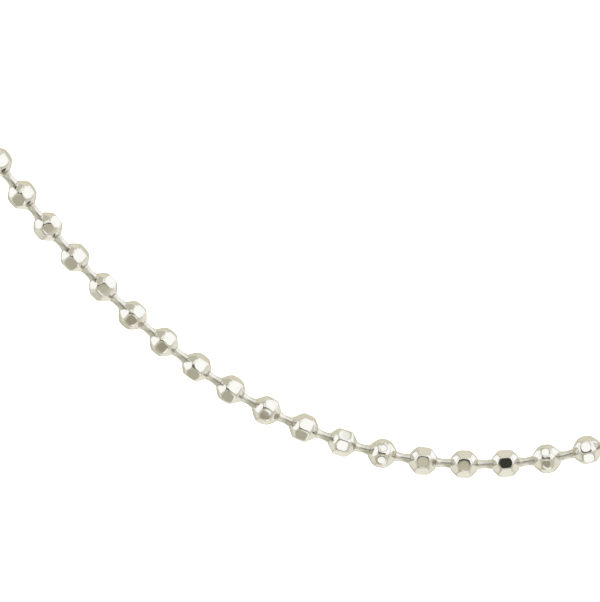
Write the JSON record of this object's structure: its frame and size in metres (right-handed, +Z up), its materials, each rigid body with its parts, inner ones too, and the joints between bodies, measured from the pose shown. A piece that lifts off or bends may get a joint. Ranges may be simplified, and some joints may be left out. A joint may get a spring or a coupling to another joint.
{
  "type": "ball chain necklace",
  "caption": "Closed loop of small hollow faceted balls on short captive pins, hanging in a curve at the front and joined at the nape by a slotted sleeve.",
  "frame": {"origin": "the middle of the nape, at the centre of the closing sleeve, where the chain lies on the back of the neck", "axes": "+X to the viewer's right across the neck, -Y towards the hanging front, +Z up"},
  "size_m": [0.1142, 0.1027, 0.0548],
  "materials": {
    "ball_silver": "polished, with ground facets",
    "pin_silver": "polished",
    "sleeve_silver": "polished"
  },
  "bodies": {
    "root": {"balls": "ball_silver", "link_pins": "pin_silver", "sleeve": "sleeve_silver"}
  },
  "joints": []
}
